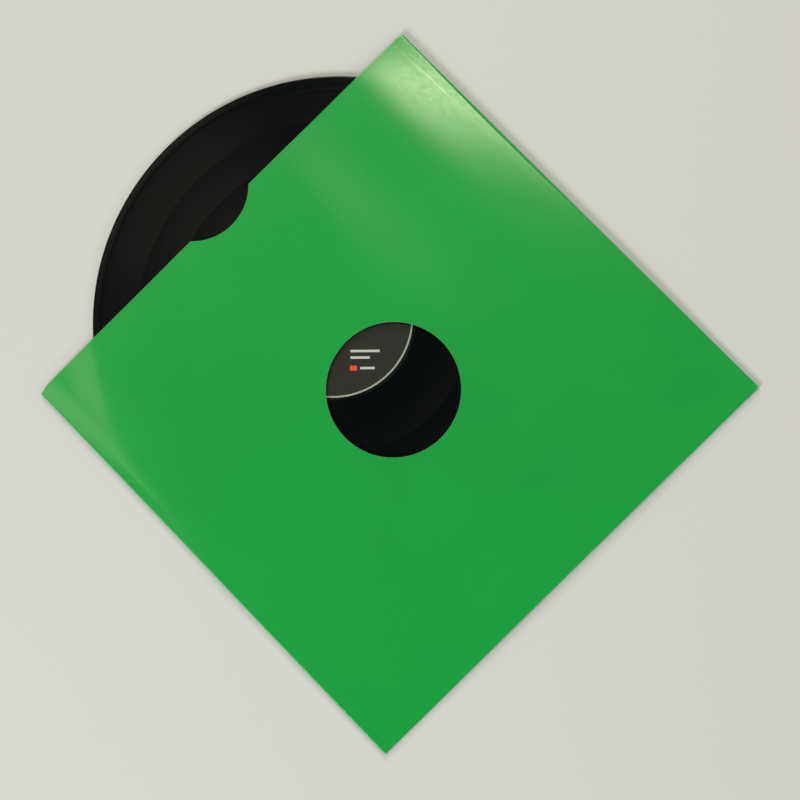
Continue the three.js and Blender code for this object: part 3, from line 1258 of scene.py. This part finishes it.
@dataclass
class Record(RoundPiece):
    """The pressed record, with its zones in the order in which they are met from the middle."""

    spindle_radius: float = 3.62 * MM
    recess_radius: float = 49.6 * MM
    land_radius: float = 51.5 * MM
    wax_radius: float = 70 * MM
    rim_width: float = 4.5 * MM
    step: float = 1.2 * MM
    label_thickness: float = 0.15 * MM
    wax_half: float = 0.75 * MM
    groove_half: float = 0.70 * MM
    rim_half: float = 0.85 * MM
    rim_round: float = 1.1 * MM
    band_edges: tuple[float, ...] = (84.5 * MM, 101 * MM, 121.5 * MM)
    band_gap: float = 1.1 * MM
    band_rise: float = 0.03 * MM
    band_ease: float = 0.25 * MM
    hole_bevel: float = 0.12 * MM
    recess_bevel: float = 0.08 * MM
    recess_nick: float = 0.03 * MM
    rim_steps: int = 8
    segments: int = 288

    def section(self) -> list[tuple[float, float]]:
        """Gives the upper half of the record's section.

        Returns:
            Radius and height pairs, from the spindle hole to just short of the rim's middle.
        """
        recess = self.half - self.label_thickness
        profile = [
            (self.spindle_radius, recess - self.hole_bevel),
            (self.spindle_radius + self.hole_bevel, recess),
            (self.recess_radius, recess),
            (self.recess_radius + self.recess_nick, self.half - self.recess_nick),
            (self.recess_radius + self.recess_bevel, self.half),
            (self.land_radius, self.half),
        ]
        profile += self._ease(self.land_radius, self.step, self.half, self.wax_half)
        profile += [(self.wax_radius, self.wax_half)]
        profile += self._ease(self.wax_radius, self.step, self.wax_half, self.groove_half)
        band_half = self.groove_half + self.band_rise
        for edge in self.band_edges:
            profile += self._ease(edge, self.band_ease, self.groove_half, band_half)
            back = edge + self.band_gap
            profile += self._ease(back, self.band_ease, band_half, self.groove_half)
        bead = self.radius - self.rim_width - self.step
        profile += [(bead, self.groove_half)]
        profile += self._ease(bead, self.step, self.groove_half, self.rim_half)
        for angle in np.linspace(0, math.pi / 2, self.rim_steps)[:-1]:
            radius = self.radius - self.rim_round * (1 - math.sin(angle))
            profile.append((radius, self.rim_half * math.cos(angle)))
        return profile

    @staticmethod
    def _ease(start: float, width: float, low: float, high: float) -> list[tuple[float, float]]:
        """Gives a soft step from one height to another.

        Args:
            start: Radius at which it starts.
            width: How far out it reaches.
            low: Height at its start.
            high: Height at its end.

        Returns:
            Radius and height pairs.
        """
        shares = np.linspace(0, 1, EASE_STEPS)
        rise = high - low
        return [(start + width * share, low + rise * float(smooth(share))) for share in shares]

    def build(self) -> bpy.types.Object:
        """Turns the section round the record's axis.

        Returns:
            The piece.
        """
        upper = self.section()
        lower = [(radius, -height) for radius, height in upper]
        profile = [*upper, (self.radius, 0.0), *lower[::-1]]
        return lathe("record_pressing", profile, self.centre, self.segments)

    def dress(self, piece: bpy.types.Object) -> None:
        """Gives the record its black vinyl."""
        piece.data.materials.append(PressedVinyl().material(self))


@dataclass
class Label(RoundPiece):
    """One paper label, pressed flush into the record."""

    name: str
    side: Side
    hole_radius: float = 3.62 * MM
    edge_round: float = 0.04 * MM
    segments: int = 192

    def build(self) -> bpy.types.Object:
        """Makes the paper disc, with its printed face's edges slightly rounded.

        Returns:
            The piece.
        """
        face = self.half * self.side.value
        profile = [
            (self.hole_radius, -face),
            (self.hole_radius, face - self.edge_round * self.side.value),
            (self.hole_radius + self.edge_round, face),
            (self.radius - self.edge_round, face),
            (self.radius, face - self.edge_round * self.side.value),
            (self.radius, -face),
        ]
        return lathe(self.name, profile, self.centre, self.segments)

    def dress(self, piece: bpy.types.Object, effects: Effects) -> None:
        """Gives the label its printed paper."""
        piece.data.materials.append(LabelPaper().material(effects, self.centre, self.side))


class Tint(Enum):
    """The colours of the lamps' light."""

    COOL = (0.95, 0.99, 1.0)
    NEUTRAL = (1.0, 0.99, 0.97)
    WARM = (1.0, 0.93, 0.66)


@dataclass(frozen=True)
class Lamp:
    """A square soft lamp that faces the sleeve: metres from the sleeve's middle, and watts."""

    name: str
    place: tuple[float, float, float]
    width: float
    power: float
    tint: Tint

    def add(self, centre: Vector) -> None:
        """Adds the lamp to the scene.

        Args:
            centre: The sleeve's middle.
        """
        light = bpy.data.lights.new(self.name, "AREA")
        light.shape = "SQUARE"
        light.size = self.width
        light.energy = self.power
        light.color = self.tint.value
        lamp = bpy.data.objects.new(self.name, light)
        lamp.location = centre + Vector(self.place)
        lamp.rotation_euler = (centre - lamp.location).to_track_quat("-Z", "Y").to_euler()
        bpy.context.scene.collection.objects.link(lamp)


@dataclass
class Studio:
    """The floor, the lamps and the camera."""

    centre: Vector
    floor_colour: Colour = linear(214, 214, 212)
    floor_roughness: float = 0.9
    floor_specular: float = 0.2
    floor_reach: float = 6.0
    floor_drop: float = 0.05 * MM
    lamps: tuple[Lamp, ...] = (
        Lamp("key", (-2.1, -0.45, 1.35), 0.9, 43.0, Tint.COOL),
        Lamp("fill", (1.5, -2.2, 1.5), 1.2, 10.0, Tint.NEUTRAL),
        Lamp("rear_fill", (1.7, 1.9, 1.5), 1.2, 34.0, Tint.NEUTRAL),
        Lamp("soft_box", (0.655, 0.57, 2.0), 0.4, 8.6, Tint.WARM),
        Lamp("left_soft_box", (-0.74, 0.72, 2.0), 0.45, 1.8, Tint.WARM),
        Lamp("far_soft_box", (-0.10, 0.94, 2.0), 0.5, 1.0, Tint.WARM),
    )
    glow_heights: tuple[float, float] = (0.35, 0.75)
    glow: tuple[float, float] = (0.55, 0.02)
    camera_place: Vector = field(default_factory=lambda: Vector((21.1, -191.3, 1393.1)) * MM)
    camera_target: Vector = field(default_factory=lambda: Vector((-1.6, -6.8, 0.0)) * MM)
    camera_up: Vector = field(default_factory=lambda: Vector((0.702, 0.7074, 0.0822)))
    lens: float = 103.5
    sensor: float = 36.0
    view_depth: float = 30.0

    def floor(self) -> bpy.types.Object:
        """Makes the plain pale floor.

        Returns:
            The floor.
        """
        square = np.array([(-1, -1, 0), (1, -1, 0), (1, 1, 0), (-1, 1, 0)], float)
        corners = square * self.floor_reach - np.array((0, 0, self.floor_drop))
        ground = mesh_object("studio_floor", corners, [(0, 1, 2, 3)])
        material, tree, shader = new_material("floor paper")
        tree.feed_all(shader, {
            "Base Color": self.floor_colour,
            "Roughness": self.floor_roughness,
            "Specular IOR Level": self.floor_specular,
        })
        ground.data.materials.append(material)
        return ground

    def lights(self) -> None:
        """Adds the lamps and the dim light of the room.

        The low key lamp stands to the left, with two fill lamps opposite. Three warm soft boxes
        high above give the card its highlights.
        """
        for lamp in self.lamps:
            lamp.add(self.centre)
        world = bpy.data.worlds.new("room")
        world.use_nodes = True
        tree = Tree(world.node_tree)
        direction = tree.add("ShaderNodeTexCoord").outputs["Generated"]
        height = tree.add("ShaderNodeSeparateXYZ", {0: direction}).outputs["Z"]
        background = world.node_tree.nodes["Background"]
        background.inputs["Color"].default_value = (1.0, 1.0, 1.0, 1.0)
        tree.feed(background.inputs["Strength"], tree.ramp(height, *self.glow_heights, *self.glow))
        bpy.context.scene.world = world

    def camera(self) -> None:
        """Adds the camera, looking down at the sleeve as it lies."""
        place = self.centre + self.camera_place
        forward = (self.centre + self.camera_target - place).normalized()
        right = forward.cross(self.camera_up).normalized()
        up = right.cross(forward)
        lens = bpy.data.cameras.new("camera")
        lens.lens = self.lens
        lens.sensor_width = self.sensor
        lens.clip_end = self.view_depth
        camera = bpy.data.objects.new("camera", lens)
        turn = Matrix((right, up, -forward)).transposed().to_4x4()
        camera.matrix_world = Matrix.Translation(place) @ turn
        bpy.context.scene.collection.objects.link(camera)
        bpy.context.scene.camera = camera


def place(piece: bpy.types.Object, body: str, node: str, slot: str) -> None:
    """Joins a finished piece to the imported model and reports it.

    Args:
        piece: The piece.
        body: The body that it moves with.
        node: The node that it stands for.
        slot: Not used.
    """
    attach(piece, body)
    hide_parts(node)
    LOG.info("%s: %d points, rides on %s", piece.name, len(piece.data.vertices), body)


def main() -> None:
    """Builds the sleeve, the record and its labels, then the studio round them."""
    bpy.context.scene.view_settings.view_transform = "Standard"
    effects = Effects.build()

    sheet = SleeveSheet(*map(Vector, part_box("sleeve")))
    sleeve_piece = sheet.build()
    sheet.dress(sleeve_piece, effects)
    place(sleeve_piece, "sleeve", "sleeve", "sleeve_card")

    record = Record(*map(Vector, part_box("record_disc")))
    record_piece = record.build()
    record.dress(record_piece)
    place(record_piece, "record", "record_disc", "record_vinyl")

    for node, side in (("label_front", Side.UPPER), ("label_back", Side.LOWER)):
        label = Label(*map(Vector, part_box(node)), node.replace("label", "paper_label"), side)
        label_piece = label.build()
        label.dress(label_piece, effects)
        place(label_piece, "record", node, "label_paper")

    studio = Studio(sheet.centre)
    studio.floor()
    studio.lights()
    studio.camera()


if __name__ == "__main__":
    logging.basicConfig(level=logging.INFO)
    main()
